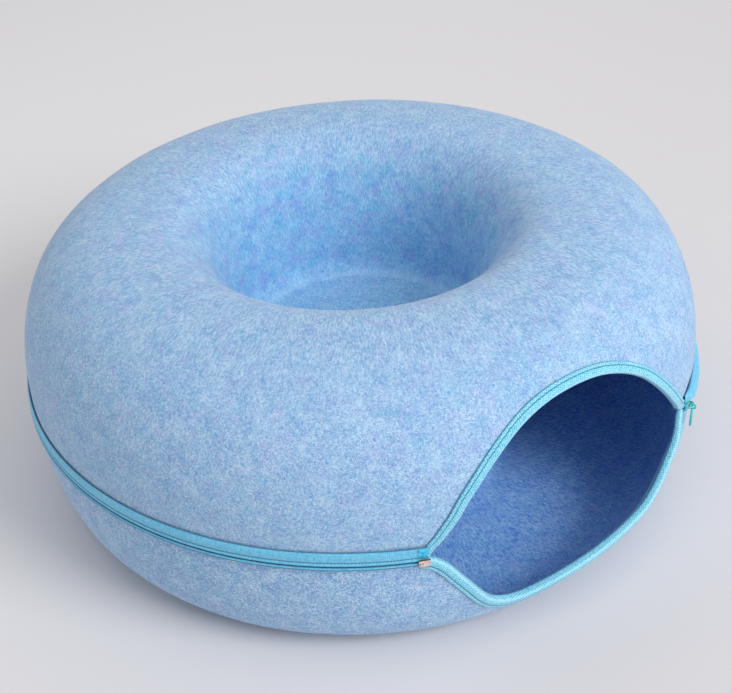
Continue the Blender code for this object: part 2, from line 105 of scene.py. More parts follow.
# Zip line: the tapes' sections are (out from the tape's radius, above the zip line), as shares of a width
zip_height = 0.1145
felt_setback = 0.0033
tape_radius = 0.3021
tape_thickness = 0.0005
tape_end_setback = 0.0015
tape_steps = 1500
tape_section_steps = 32
upper_tape_width = 0.0124
upper_tape_shares = (
    (-0.03, 0.19), (-0.02, 0.11), (0.02, 0.078), (0.058, 0.088), (0.072, 0.15), (0.070, 0.22), (0.050, 0.285),
    (0.018, 0.335), (0.050, 0.385), (0.068, 0.47), (0.074, 0.63), (0.070, 0.82), (0.055, 0.97), (0.02, 1.065),
    (-0.03, 1.08), (-0.06, 1.065),
)
lower_tape_width = 0.0030
lower_tape_shares = (
    (-0.10, -0.56), (0.02, -0.50), (0.18, -0.51), (0.27, -0.60), (0.29, -0.72), (0.26, -0.86), (0.14, -0.98),
    (-0.10, -1.03), (-1.80, -0.98), (-2.80, -1.06), (-3.20, -1.60), (-3.30, -3.20), (-3.30, -5.0),
)
stitch_pitch = 0.0026
stitch_length = 0.0019
thread_radius = 0.00033
upper_seam_rise = 0.0043
upper_seam_out = 0.00045
lower_seam_drop = 0.011
lower_seam_in = 0.0007
groove_depth = 0.0002
tape_groove_reach = 0.0007
inner_leg_out = -0.004
inner_leg_rise = -0.0032
inner_leg_reach = 0.012
coil_pitch = 0.0018
coil_points = 8
coil_wire_radius = 0.00034
coil_loop_radius = 0.00078
coil_radius = 0.30095
coil_rise = 0.00135
coil_half_depth = 0.00085
stop_length = 0.0018
pin_length = 0.0060
seat_gap = 0.0003
tape_lean = 0.0006
lean_reach = 0.030
lean_share = 0.6
bulge = 0.0061
bulge_start = 0.010
bulge_reach = 0.082
film_length = 0.0080
film_radius = 0.3030
film_thickness = 0.0002
film_tab_drop = 0.0068

# Retainer box, slider and puller: out from the ring's axis, along the rim and up; and the grip discs
box_length = 0.0089
box_height = 0.0074
box_wall = 0.0008
box_front = 0.3035
box_back = 0.2995
box_end = 0.00035
box_flare = 0.0006
# Painted shade on the box: two dark spots standing for holes, and a dark band at its open top
box_hole_shade_places = (-0.0062, -0.0083)
box_hole_shade_drop = 0.0003
box_hole_shade_radii = (0.0015, 0.0010)
box_mouth_shade_rises = (0.0024, 0.0028)
slider_angle = right_corner_angle + 0.00825 / tape_radius
slider_face = 0.3048
slider_plate = 0.0017
plate_corner = 0.0004
slider_length = 0.0135
slider_height = 0.0072
back_plate_length = 0.0120
back_plate_height = 0.0042
back_plate_thickness = 0.0010
back_plate_gap = 0.0006
back_plate_corner = 0.0003
neck_length = 0.0040
neck_thickness = 0.0003
neck_corner = 0.0001
crown_axis = 0.3084
crown_half = 0.0045
crown_radius = 0.00095
crown_sink = 0.0002
crown_flat = 0.0004
eye_radius = 0.00262
eye_wire = 0.0008
eye_drop = 0.0008
puller_length = 0.024
puller_width = 0.005
puller_thickness = 0.0018
slider_shares = (
    (-0.5, -0.30), (-0.42, -0.43), (-0.15, -0.5), (0.30, -0.5), (0.46, -0.40), (0.5, -0.2), (0.5, 0.2),
    (0.46, 0.40), (0.30, 0.5), (-0.15, 0.5), (-0.42, 0.43), (-0.5, 0.30),
)
disc_radius = 0.050
disc_thickness = 0.00135

# Doorway: the shape of its edge as shares of its half width and reach
door_upper_reach = 0.1051
door_lower_reach = 0.0755
door_steps = 150
upper_edge_shifts = (0.0006, 0.0014)
lower_edge_shifts = (0.0, 0.0008)
plug_growth = 0.0012
plug_overrun = 0.012
plug_reach = 0.15
near_door_radius = 0.26
near_door_front = -0.08
near_door_heights = (0.02, 0.24)
upper_edge_shares = (
    (-1.0, 0.0), (-0.985, 0.062), (-0.93, 0.152), (-0.85, 0.303), (-0.76, 0.492), (-0.61, 0.716),
    (-0.44, 0.882), (-0.25, 0.974), (-0.04, 1.0), (0.16, 0.969), (0.33, 0.882), (0.47, 0.756),
    (0.58, 0.602), (0.69, 0.424), (0.86, 0.147), (1.0, 0.0),
)
lower_edge_shares = (
    (-1.0, 0.0), (-0.962, 0.03), (-0.902, 0.139), (-0.841, 0.305), (-0.779, 0.477), (-0.722, 0.64),
    (-0.674, 0.775), (-0.611, 0.897), (-0.526, 0.98), (-0.44, 1.0), (-0.36, 0.98), (-0.22, 0.925),
    (-0.05, 0.861), (0.12, 0.8), (0.3, 0.735), (0.48, 0.662), (0.65, 0.56), (0.8, 0.403),
    (0.92, 0.209), (1.0, 0.0),
)
binding_width = 0.009
binding_seam_inset = 0.003
binding_thickness = 0.0009
binding_steps = 560
binding_section_steps = 44
binding_groove_reach = 0.0008
binding_stitch_rise = 0.0017
inner_stitch_depth = 0.0042
# Across the binding: painted shade at the seam and at the inner crease, and a painted highlight along the
# fold
seam_shade_across = 0.0036
fold_highlight_across = 0.0094
inner_crease_shade_across = 0.0193
upper_binding_share = 0.88
left_pinch = 0.22
right_pinch = 0.05
corner_thinning = 0.35
corner_reach = 0.024
binding_overrun = 0.007
binding_shares = (
    (1.0, 0.015), (0.985, 0.070), (0.93, 0.110), (0.84, 0.125), (0.75, 0.115), (0.70, 0.090), (0.667, 0.072),
    (0.635, 0.090), (0.58, 0.125), (0.45, 0.150), (0.25, 0.150), (0.10, 0.115), (0.02, 0.045), (0.0, -0.04),
    (0.0, -0.15), (0.0, -0.26), (0.02, -0.34), (0.10, -0.395), (0.30, -0.43), (0.52, -0.475), (0.62, -0.455),
    (0.70, -0.46), (0.78, -0.54), (0.90, -0.64), (1.0, -0.665),
)


def paint(red, green, blue):
    """A colour on screen, from 0 to 255, as the linear one that a shader takes."""
    shares = (value / 255 for value in (red, green, blue))
    return (*(s / 12.92 if s < 0.04045 else ((s + 0.055) / 1.055) ** 2.4 for s in shares), 1.0)


class Wire:
    """A node's output, which sums in Python extend with Math nodes."""

    def __init__(self, finish, socket):
        self.finish = finish
        self.socket = socket

    def maths(self, operation, *values):
        return self.finish.node("Math", {"operation": operation}, dict(enumerate(values)))

    def __add__(self, other):
        return self.maths("ADD", self, other)

    def __sub__(self, other):
        return self.maths("SUBTRACT", self, other)

    def __mul__(self, other):
        return self.maths("MULTIPLY", self, other)

    def __truediv__(self, other):
        return self.maths("DIVIDE", self, other)

    def __pow__(self, other):
        return self.maths("POWER", self, other)

    def __rsub__(self, other):
        return self.maths("SUBTRACT", other, self)

    __radd__ = __add__

    def most(self, other):
        return self.maths("MAXIMUM", self, other)

    def size(self):
        return self.maths("ABSOLUTE", self)

    def sine(self):
        return self.maths("SINE", self)

    def ramp(self, low, high):
        """0 below low, 1 above high, and smooth between them."""
        sockets = {"Value": self, "From Min": low, "From Max": high}
        return self.finish.node("MapRange", {"interpolation_type": "SMOOTHSTEP"}, sockets)


class Finish:
    """A material: its shader, and the nodes that feed it."""

    def __init__(self, name, **constants):
        self.material = bpy.data.materials.new(name)
        self.material.use_nodes = True
        self.tree = self.material.node_tree
        self.shader = self.tree.nodes["Principled BSDF"]
        for socket, value in constants.items():
            self.shader.inputs[socket.replace("_", " ").title()].default_value = value

    def node(self, kind, settings=None, sockets=None, output=0):
        """Adds a node, sets it up, and gives or links what its sockets take."""
        added = self.tree.nodes.new("ShaderNode" + kind)
        for name, value in (settings or {}).items():
            setattr(added, name, value)
        for name, value in (sockets or {}).items():
            self.feed(added.inputs[name], value)
        return Wire(self, added.outputs[output])

    def feed(self, socket, value):
        if isinstance(value, Wire):
            self.tree.links.new(value.socket, socket)
        else:
            socket.default_value = value

    def place(self):
        return self.node("TexCoord", output="Object")

    def parts_of(self, vector):
        return [self.node("SeparateXYZ", sockets={0: vector}, output=i) for i in range(3)]

    def vector(self, x, y, z):
        return self.node("CombineXYZ", sockets={0: x, 1: y, 2: z})

    def stretched(self, vector, scale, turn=0.0):
        """A vector turned about Z and then scaled, to run a pattern along a direction."""
        turned = self.node("Mapping", sockets={"Vector": vector, "Rotation": (0.0, 0.0, turn)})
        return self.node("Mapping", sockets={"Vector": turned, "Scale": scale})

    def noise(self, vector, scale, detail=2.0, roughness=0.5, swirl=0.0):
        sockets = {
            "Vector": vector, "Scale": scale, "Detail": detail, "Roughness": roughness, "Distortion": swirl,
        }
        return self.node("TexNoise", sockets=sockets)

    def mix(self, share, first, second):
        sockets = {"Factor": share, 6: first, 7: second}
        return self.node("Mix", {"data_type": "RGBA"}, sockets, output=2)

    def tinted(self, share, colour, tint):
        settings = {"data_type": "RGBA", "blend_type": "MULTIPLY"}
        return self.node("Mix", settings, {"Factor": share, 6: colour, 7: tint}, output=2)

    def colour(self, value):
        self.feed(self.shader.inputs["Base Color"], value)

    def roughness(self, value):
        self.feed(self.shader.inputs["Roughness"], value)

    def relief(self, height, depth, strength=1.0):
        """Bumps the surface by a height from 0 to 1, times a depth in metres."""
        sockets = {"Height": height, "Distance": depth, "Strength": strength}
        self.feed(self.shader.inputs["Normal"], self.node("Bump", sockets=sockets))


def felt_finish(name, dark, light, well_shade_tint, brushed):
    """Needle felt: a pale web of fibres with darker, teal and lilac ones, combed towards the well; with
    painted shade in the well and a painted highlight at the edge of its floor.
    """
    felt = Finish(name, roughness=0.92, sheen_weight=0.2, sheen_roughness=0.5)
    place = felt.place()
    x, y, height = felt.parts_of(place)
    radius = (x * x + y * y) ** 0.5
    rise = (height - zip_height).size()
    round_side = rise.maths("ARCTAN2", rise, radius - section_middle_radius) * 0.12
    around = felt.vector(x / radius.most(0.01) * 0.2, y / radius.most(0.01) * 0.2, round_side)

    combed = (radius.ramp(0.285, 0.20) * radius.ramp(0.095, 0.105) * 0.7).most(brushed)
    streaks = felt.noise(felt.stretched(around, (1.0, 1.0, 0.30 - 0.16 * brushed)), 860.0, 3.0, 0.7)
    fine_web = felt.noise(place, 620.0, 3.0, 0.75, 1.2)
    fibre = felt.node("SeparateColor", sockets={0: felt.mix(combed, fine_web, streaks)})
    tuft = felt.noise(place, 210.0, 2.0, 0.6, 0.8)
    clouds = felt.noise(place, 60.0, 3.0, 0.6)
    coarse = height.ramp(0.125, 0.105) * (0.062 if not brushed else 0.0)
    depth = (fibre * 0.76 + tuft * 0.11 + clouds * 0.13).ramp(0.375 + coarse, 0.645 - coarse)
    base = felt.mix(depth, dark, light)

    lilac_clouds = felt.noise(felt.stretched(place, (1.0, 1.0, 1.2)), 62.0, 4.0, 0.62)
    teal_clouds = felt.noise(felt.stretched(place, (1.1, 1.0, 1.0), 0.7), 74.0, 4.0, 0.62)
    well = radius.ramp(0.152, 0.116) * height.ramp(0.08, 0.10)
    wall = well * radius.ramp(0.104, 0.112)
    lilac = felt.tinted(lilac_clouds.ramp(0.47, 0.62) * (0.42 + wall * 0.4), base, (1.02, 0.82, 0.98, 1.0))
    teal = felt.tinted(teal_clouds.ramp(0.47, 0.62) * (0.48 + wall * 0.5), lilac, (0.72, 0.93, 0.98, 1.0))
    # Painted shade: the well's felt is multiplied by a bluer tint, for the deeper blue that bounce light
    # gives there.
    with_well_shade = felt.tinted(well, teal, well_shade_tint)
    # Painted highlight: a lighter ring where the well's floor meets its wall.
    crease_shading = radius.ramp(0.0975, 0.0990) * radius.ramp(0.1085, 0.1030) * height.ramp(0.112, 0.116)
    with_crease_shading = felt.mix(crease_shading * 0.22, with_well_shade, light)
    speck = felt.noise(felt.stretched(around, (1.0, 1.0, 0.5)), 640.0, 1.0, 0.5).ramp(0.74, 0.80)
    felt.colour(felt.mix(speck * 0.5, with_crease_shading, paint(52, 84, 128)))
    felt.relief(fibre * 0.7 + tuft * 0.3, 0.0005, 0.55)
    return felt.material


def ribbed_finish():
    """The doorway binding: knitted tape, with painted shade along its seam, at its inner crease and at its
    outer edge, and a painted highlight along its fold.
    """
    tape = Finish("binding", roughness=0.75, sheen_weight=0.3)
    along, across, _ = tape.parts_of(tape.node("UVMap"))
    rib = ((along + across * 0.6) * (math.tau / 0.0021)).sine() * 0.5 + 0.5
    course = ((across - along * 0.4) * (math.tau / 0.0017)).sine() * 0.5 + 0.5
    wear = tape.noise(tape.place(), 700.0, 2.0, 0.7)
    light = (rib * course * 0.35 + wear * 0.85).ramp(0.28, 0.72)
    weave = tape.mix(light, paint(74, 172, 210), paint(160, 232, 250))
    # Painted shade along the seam's groove.
    crease_shading = (across - seam_shade_across).size().ramp(0.0012, 0.0004)
    # Painted highlight along the fold.
    fold_highlight = (across - fold_highlight_across).size().ramp(0.0011, 0.0002)
    # Painted shade at the inner crease.
    inner_crease_shade = (across - inner_crease_shade_across).size().ramp(0.0016, 0.0008)
    # Painted shade: a dark strip at the outer edge, for the shadow where the binding meets the felt.
    edge = across.ramp(0.0011, 0.0006)
    folded = tape.mix(fold_highlight * 0.32, weave, paint(204, 240, 252))
    shaded = tape.mix(crease_shading * 0.82, folded, paint(14, 104, 138))
    with_crease_shading = tape.mix(inner_crease_shade * 0.9, shaded, paint(22, 84, 130))
    tape.colour(tape.mix(edge * 0.8, with_crease_shading, paint(34, 118, 160)))
    tape.relief(rib * course + wear * 0.5, 0.0003, 0.7)
    return tape.material


def smooth_tape_finish(name, shade_from, shade_to):
    """A zip tape: a close weave, with a band of painted shade that lies between two places across it."""
    tape = Finish(name, roughness=0.62, sheen_weight=0.25)
    along, across, _ = tape.parts_of(tape.node("UVMap"))
    weft = (along * (math.tau / 0.0014)).sine() * 0.5 + 0.5
    warp = (across * (math.tau / 0.0012)).sine() * 0.5 + 0.5
    weave = weft * warp
    wear = tape.noise(tape.place(), 420.0, 3.0, 0.65)
    light = (weave * 0.3 + wear * 0.75).ramp(0.25, 0.75)
    plain = tape.mix(light, paint(82, 177, 219), paint(136, 217, 245))
    # Painted shade: a dark band where the tape's edge meets the felt.
    edge = across.ramp(shade_from - 0.0002, shade_from + 0.0002) * across.ramp(shade_to + 0.0002, shade_to)
    tape.colour(tape.mix(edge * 0.85, plain, paint(18, 96, 132)))
    tape.relief(weave, 0.00012, 0.6)
    return tape.material


def mottled_finish(name, scale, detail, dark, light, contrast=None, **constants):
    """A plain surface that varies a little between two colours."""
    plain = Finish(name, **constants)
    shade = plain.noise(plain.place(), scale, detail)
    if contrast:
        shade = shade.ramp(*contrast)
    plain.colour(plain.mix(shade, dark, light))
    return plain.material


def copper_finish():
    """The retainer box's sheet: bright and scuffed, with painted shade at its open top and two dark spots of
    painted shade standing for holes.
    """
    copper = Finish("copper", metallic=1.0, roughness=0.32)
    place = copper.place()
    scuff = copper.noise(place, 700.0, 4.0, 0.6)
    tarnish = copper.noise(place, 420.0, 1.0).ramp(0.54, 0.64)
    bright = copper.mix(scuff.ramp(0.35, 0.65), paint(250, 216, 202), paint(255, 242, 234))
    worn = copper.mix(tarnish * 0.5, bright, paint(160, 104, 92))
    _, _, height = copper.parts_of(place)
    # Painted shade: dark at the open top and in two spots standing for holes.
    mouth_and_hole_shade = height.ramp(*(zip_height + rise for rise in box_mouth_shade_rises))
    for along in box_hole_shade_places:
        turn = left_corner_angle + along / box_front
        centre = (box_front * math.cos(turn), box_front * math.sin(turn), zip_height - box_hole_shade_drop)
        far = copper.node("VectorMath", {"operation": "DISTANCE"}, {0: place, 1: centre}, output=1)
        mouth_and_hole_shade = mouth_and_hole_shade.most(far.ramp(*box_hole_shade_radii))
    copper.colour(copper.mix(mouth_and_hole_shade * 0.9, worn, paint(52, 40, 52)))
    copper.roughness(0.3 + scuff * 0.25)
    copper.relief(scuff, 0.0001, 0.4)
    return copper.material


def grip_finish():
    """Hook and loop tape: a rough pile."""
    grip = Finish("grip_tape", roughness=0.8)
    grain = grip.noise(grip.place(), 900.0, 2.0)
    grip.colour(grip.mix(grain.ramp(0.4, 0.6), paint(70, 140, 190), paint(120, 186, 220)))
    grip.relief(grain, 0.0006, 0.8)
    return grip.material


# The outer felt's tint multiplies its colour in the well: painted shade.
FELT = felt_finish("felt", paint(112, 160, 207), paint(191, 220, 242), (0.78, 0.97, 1.0, 1.0), 0.0)
# The felt's inner faces: a bluer, brighter copy of the felt, painted bounce light and shade for the inside of
# the tunnel.
INNER_FELT_PAINTED_LIGHT = felt_finish("inner_felt_painted_light", paint(68, 135, 226), paint(182, 230, 255), (1.0, 1.0, 1.0, 1.0), 0.35)
BINDING = ribbed_finish()
# The last two numbers: where each tape's painted shade lies across it.
UPPER_TAPE = smooth_tape_finish("upper_zip_tape", 0.0146, 0.0190)
LOWER_TAPE = smooth_tape_finish("lower_zip_tape", 0.0014, 0.0036)
THREAD = mottled_finish(
    "thread", 900.0, 2.0, paint(4, 84, 114), paint(28, 126, 156), roughness=0.55, sheen_weight=0.2
)
NYLON = mottled_finish("coil_nylon", 300.0, 2.0, paint(20, 140, 178), paint(50, 176, 208), roughness=0.35)
FILM = mottled_finish(
    "tape_film", 500.0, 2.0, paint(28, 164, 216), paint(74, 212, 240), (0.35, 0.65),
    roughness=0.18, coat_weight=0.6,
)
CLEAR_FILM = mottled_finish(
    "clear_film", 400.0, 2.0, paint(120, 204, 206), paint(160, 224, 226), roughness=0.3, alpha=0.3
)
COPPER = copper_finish()
ENAMEL = mottled_finish(
    "slider_enamel", 260.0, 3.0, paint(24, 168, 178), paint(64, 214, 218), (0.3, 0.7),
    roughness=0.3, coat_weight=0.5,
)
GRIP = grip_finish()


def mesh_of(name, bm):
    mesh = bpy.data.meshes.new(name)
    bm.to_mesh(mesh)
    bm.free()
    return mesh


def add_object(name, data):
    item = bpy.data.objects.new(name, data)
    bpy.context.scene.collection.objects.link(item)
    return item


def add_piece(name, bm, finish, body, node):
    """Turns a bmesh into a piece that rides on a body and stands for a node."""
    mesh = mesh_of(name, bm)
    mesh.shade_smooth()
    mesh.materials.append(finish)
    piece = add_object(name, mesh)
    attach(piece, body)
    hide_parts(node)
    return piece


def strip(long_steps, wide_steps, place, run, width):
    """A grid shaped into a strip: place gives a point from shares of its run and width."""
    bm = bmesh.new()
    uv = bm.loops.layers.uv.new("strip")
    bmesh.ops.create_grid(bm, x_segments=long_steps, y_segments=wide_steps, size=0.5)
    shares = {vert: (vert.co.x + 0.5, vert.co.y + 0.5) for vert in bm.verts}
    for face in bm.faces:
        for loop in face.loops:
            along, across = shares[loop.vert]
            loop[uv].uv = (along * run, across * width)
    for vert, (along, across) in shares.items():
        vert.co = place(along, across)
    return bm


def thicken(piece, thickness, even=False):
    """Gives an open sheet its wall, on the side that its faces turn away from."""
    wall = piece.modifiers.new("wall", "SOLIDIFY")
    wall.thickness = thickness
    wall.offset = -1.0
    wall.use_even_offset = even
    return wall


def quarter(exponent, start_share, steps):
    """Run and rise shares of a rounded quarter, from its side to its top."""
    start = math.asin(start_share ** (exponent / 2))
    for turn in np.linspace(start, math.pi / 2, steps + 1):
        yield max(math.cos(turn), 0.0) ** (2 / exponent), math.sin(turn) ** (2 / exponent)


def well_profile(rim_radius, rim_height, floor_height):
    """The flat floor, its fillet and the wall that curls over to the rim."""
    fillet = well_radius - well_floor_radius
    side = 1 if rim_height > floor_height else -1
    points = [(well_floor_radius * step / floor_steps, floor_height) for step in range(floor_steps)]
    for turn in np.linspace(0, math.pi / 2, fillet_steps + 1)[:-1]:
        radius = well_floor_radius + fillet * math.sin(turn)
        points.append((radius, floor_height + side * fillet * (1 - math.cos(turn))))
    rise = rim_height - floor_height
    for run_share, rise_share in quarter(well_corner_exponent, fillet / abs(rise), side_steps):
        radius = rim_radius - (rim_radius - well_radius) * run_share
        points.append((radius, floor_height + rise * rise_share))
    return points


def side_profile():
    """The outer side from the foot's outer edge up to the crest."""
    points = []
    for run_share, rise_share in reversed(list(quarter(bottom_corner_exponent, 0.0, side_steps))):
        radius = foot_outer_radius + (shell_radius - foot_outer_radius) * run_share
        points.append((radius, widest_height * (1 - rise_share)))
    for run_share, rise_share in list(quarter(top_corner_exponent, 0.0, side_steps))[1:]:
        radius = crest_radius + (shell_radius - crest_radius) * run_share
        points.append((radius, widest_height + (shell_height - widest_height) * rise_share))
    return points


def trimmed(points, low, high):
    """The part of an outline between two heights, with points on them."""
    heights = [point[1] for point in points]
    radii = [point[0] for point in points]
    ends = [(float(np.interp(height, heights, radii)), height) for height in (low, high)]
    return [ends[0], *[point for point in points if low < point[1] < high], ends[1]]


def ways_along(points):
    """A line's direction at each of its points."""
    ways = np.gradient(points, axis=0)
    return ways / np.linalg.norm(ways, axis=1)[:, None]


def lengths_along(points):
    """How far along a line each of its points lies."""
    return np.r_[0.0, np.cumsum(np.linalg.norm(np.diff(points, axis=0), axis=1))]


side_points = np.array(side_profile())
side_ways = ways_along(side_points)
side_lengths = lengths_along(side_points)
zip_length = float(np.interp(zip_height, side_points[:, 1], side_lengths))


def felt_point(angle, along, out):
    """The place on the felt's side, a length along it above the zip line, moved out from it."""
    length = zip_length + along
    radius, height, way_radius, way_height = (
        float(np.interp(length, side_lengths, column)) for column in (*side_points.T, *side_ways.T)
    )
    radius += out * way_height + swell_at(angle, height)
    return Vector((radius * math.cos(angle), radius * math.sin(angle), height - out * way_radius))


def smooth_through(points, steps):
    """A smooth curve through points, in even steps, by the Catmull-Rom rule."""
    points = np.array(points)
    framed = np.vstack([2 * points[0] - points[1], points, 2 * points[-1] - points[-2]])
    dense = []
    for before, first, second, after in zip(framed, framed[1:], framed[2:], framed[3:]):
        slope = second - before
        bend = 2 * before - 5 * first + 4 * second - after
        twist = 3 * first - before - 3 * second + after
        for share in np.linspace(0, 1, 40, endpoint=False):
            dense.append(first + (slope * share + bend * share**2 + twist * share**3) / 2)
    dense = np.array([*dense, points[-1]])
    lengths = lengths_along(dense)
    even = np.linspace(0, lengths[-1], steps + 1)
    return np.c_[np.interp(even, lengths, dense[:, 0]), np.interp(even, lengths, dense[:, 1])], lengths[-1]


def door_edge(upper, steps):
    """The doorway's clear edge laid on the felt, its outward directions, and its length."""
    if upper:
        shares, reach, (rest, most) = upper_edge_shares, door_upper_reach, upper_edge_shifts
    else:
        shares, reach, (rest, most) = lower_edge_shares, -door_lower_reach, lower_edge_shifts
    half_width = shell_radius * door_half_angle
    edge, length = smooth_through([(share * half_width, rise * reach) for share, rise in shares], steps)
    ways = ways_along(edge)
    outward = np.c_[-ways[:, 1], ways[:, 0]] * (1 if upper else -1)
    from_corner = np.linspace(0.0, length, steps + 1)
    shift = rest + (most - rest) * np.exp(-(from_corner / corner_reach) ** 2)
    return edge + outward * shift[:, None], outward, length


lip_places = door_edge(False, door_steps)[0]
lip_angles = door_centre_angle + lip_places[:, 0] / shell_radius
lip_heights = np.interp(zip_length + lip_places[:, 1], side_lengths, side_points[:, 1])


def eased(value):
    """A share that starts and ends softly, kept between 0 and 1."""
    value = min(1.0, max(0.0, value))
    return value * value * (3 - 2 * value)


def swell_at(angle, height):
    """How far the felt stands out round the doorway's right corner and at its lower lip, off the zip."""
    rise = abs(height - zip_height)
    turn = (angle - swell_angle + math.pi) % math.tau - math.pi
    out = swell * eased((rise - swell_start) / swell_rise) * eased((swell_end - rise) / swell_fall)
    out *= math.exp(-(turn / swell_spread) ** 2)
    if height < zip_height:
        angle = turn + swell_angle
        below = max(0.0, float(np.interp(angle, lip_angles, lip_heights)) - height)
        along = eased((angle - lip_start_angle) / lip_start_spread)
        along *= 1 - lip_end_loss * eased((angle - lip_end_angle) / lip_end_spread)
        past = max(0.0, angle - right_corner_angle) / lip_corner_spread
        out += lip_flare * math.exp(-(below / lip_reach) ** 2 - past**2) * along * eased(rise / lip_rise)
    return out


def on_felt(place, out):
    """A place laid out from the doorway's middle, across and up, put on the felt."""
    return felt_point(door_centre_angle + place[0] / shell_radius, place[1], out)


def verts_in(items):
    return [item for item in items if isinstance(item, bmesh.types.BMVert)]


def door_plug():
    """A plug through the doorway, square to the felt, which cuts the felt under the binding."""
    outline = []
    for upper in (True, False):
        edge, outward, _ = door_edge(upper, door_steps)
        grown = edge + plug_growth * outward
        outline.extend(grown if upper else grown[::-1][1:-1])
    bm = bmesh.new()
    outer = [bm.verts.new(on_felt(place, plug_overrun)) for place in outline]
    rim = [bm.edges.new((first, second)) for first, second in zip(outer, [*outer[1:], outer[0]])]
    inner = bmesh.ops.extrude_edge_only(bm, edges=rim)["geom"]
    moved = set(verts_in(inner))
    for first, place in zip(outer, outline):
        (second,) = [edge.other_vert(first) for edge in first.link_edges if edge.other_vert(first) in moved]
        second.co = on_felt(place, -felt_thickness - plug_overrun)
    across = Vector((math.cos(door_centre_angle), math.sin(door_centre_angle), 0.0))
    inner_rim = [item for item in inner if isinstance(item, bmesh.types.BMEdge)]
    for edges, radius in ((rim, shell_radius + plug_reach), (inner_rim, shell_radius - plug_reach)):
        made = bmesh.ops.extrude_edge_only(bm, edges=edges)["geom"]
        tip = across * radius + Vector((0.0, 0.0, zip_height))
        bmesh.ops.pointmerge(bm, verts=verts_in(made), merge_co=tip)
    bmesh.ops.recalc_face_normals(bm, faces=bm.faces)
    return add_object("door_plug", mesh_of("door_plug", bm))


def bake_modifiers(piece):
    """Makes a piece's evaluated shape its own mesh."""
    evaluated = piece.evaluated_get(bpy.context.evaluated_depsgraph_get())
    mesh = bpy.data.meshes.new_from_object(evaluated)
    piece.modifiers.clear()
    piece.data = mesh


def press_at_door(mesh, first_inner):
    """Moves the felt's inner face out towards the doorway's edge, where the binding presses it thin."""
    outline = np.vstack([door_edge(upper, door_steps)[0] for upper in (True, False)])
    lowest, highest = near_door_heights
    for vert in mesh.vertices[first_inner:]:
        radius = math.hypot(vert.co.x, vert.co.y)
        height = vert.co.z
        if radius < near_door_radius or vert.co.y > near_door_front or not lowest < height < highest:
            continue
        way_radius, way_height = (float(np.interp(height, side_points[:, 1], way)) for way in side_ways.T)
        along = float(np.interp(height, side_points[:, 1], side_lengths)) - zip_length
        place = (shell_radius * (math.atan2(vert.co.y, vert.co.x) - door_centre_angle), along)
        far = float(np.linalg.norm(outline - place, axis=1).min())
        share = eased((eased_reach - far) / (eased_reach - pressed_reach))
        shift = (felt_thickness - pressed_thickness) * share
        out = Vector((vert.co.x / radius * way_height, vert.co.y / radius * way_height, -way_radius))
        vert.co += out * shift


def add_felt(name, outline, body, node):
    """A moulded half shell: its outline turned, made slightly uneven, given its wall and its doorway."""
    bm = bmesh.new()
    corners = [bm.verts.new((radius, 0.0, height)) for radius, height in outline]
    edges = [bm.edges.new(pair) for pair in zip(corners, corners[1:])]
    bmesh.ops.spin(
        bm, geom=[*corners, *edges], cent=(0, 0, 0), axis=(0, 0, 1), angle=math.tau,
        steps=turn_steps, use_merge=True,
    )
    bmesh.ops.remove_doubles(bm, verts=bm.verts, dist=0.00001)
    bmesh.ops.recalc_face_normals(bm, faces=bm.faces)
    if sum(face.normal.z * (face.calc_center_median().z - zip_height) for face in bm.faces) < 0:
        bmesh.ops.reverse_faces(bm, faces=bm.faces)
    bm.normal_update()
    for vert in bm.verts:
        radius = math.hypot(vert.co.x, vert.co.y)
        if radius > swell_inner_radius:
            angle = math.atan2(vert.co.y, vert.co.x)
            vert.co += Vector((vert.co.x, vert.co.y, 0.0)) * (swell_at(angle, vert.co.z) / radius)
        calm = min(1.0, abs(vert.co.z - zip_height) / calm_reach, vert.co.z / calm_reach)
        wave = noise.fractal(vert.co * wave_scale, 1.0, 2.0, 2) * wave_height
        wave += noise.noise(vert.co * ripple_scale) * ripple_height
        vert.co += vert.normal * wave * calm
    first_inner = len(bm.verts)
    felt = add_piece(name, bm, FELT, body, node)
    # The inner faces take the copy of the felt with painted bounce light and shade.
    felt.data.materials.append(INNER_FELT_PAINTED_LIGHT)
    thicken(felt, felt_thickness, even=True).material_offset = 1
    bake_modifiers(felt)
    press_at_door(felt.data, first_inner)
    cut = felt.modifiers.new("doorway", "BOOLEAN")
    cut.operation = "DIFFERENCE"
    cut.object = DOOR_PLUG
    bake_modifiers(felt)


DOOR_PLUG = door_plug()
side = side_profile()
upper_side = trimmed(side, zip_height + felt_setback, shell_height)[::-1]
lower_side = trimmed(side, 0.0, zip_height - felt_setback)
add_felt(
    "upper_felt", well_profile(crest_radius, shell_height, well_floor_height) + upper_side[1:],
    "upper_half", "upper_shell",
)
add_felt(
    "lower_felt", well_profile(foot_inner_radius, 0.0, hollow_ceiling) + lower_side,
    "lower_half", "lower_shell",
)
bpy.data.objects.remove(DOOR_PLUG)


def cut_off(bm, point, way):
    """Cuts a strip by a plane and keeps the side that the plane's direction points to."""
    geometry = [*bm.verts, *bm.edges, *bm.faces]
    bmesh.ops.bisect_plane(bm, geom=geometry, plane_co=point, plane_no=way, clear_inner=True)


def trim_at_zip(bm, upper):
    """Ends a binding at the zip line, and past each corner clear of the zip's coil."""
    side = 1 if upper else -1
    height = zip_height + side * corner_gap
    cut_off(bm, (0.0, 0.0, height), (0.0, 0.0, side))
    for angle, turn in ((right_corner_angle, 1), (left_corner_angle, -1)):
        away = Vector((-math.sin(angle), math.cos(angle), 0.0)) * turn
        point = Vector((shell_radius * math.cos(angle), shell_radius * math.sin(angle), height))
        cut_off(bm, point, Vector((0, 0, side * math.cos(corner_slope))) - away * math.sin(corner_slope))


def pinch_at(upper, from_left, from_right):
    """How much narrower and thinner a binding is, at a distance from each of the doorway's corners."""
    left, right = (math.exp(-(far / corner_reach) ** 2) for far in (from_left, from_right))
    narrower = upper_binding_share - left_pinch * left - right_pinch * right if upper else 1.0
    return narrower, 1 - corner_thinning * max(left, right)


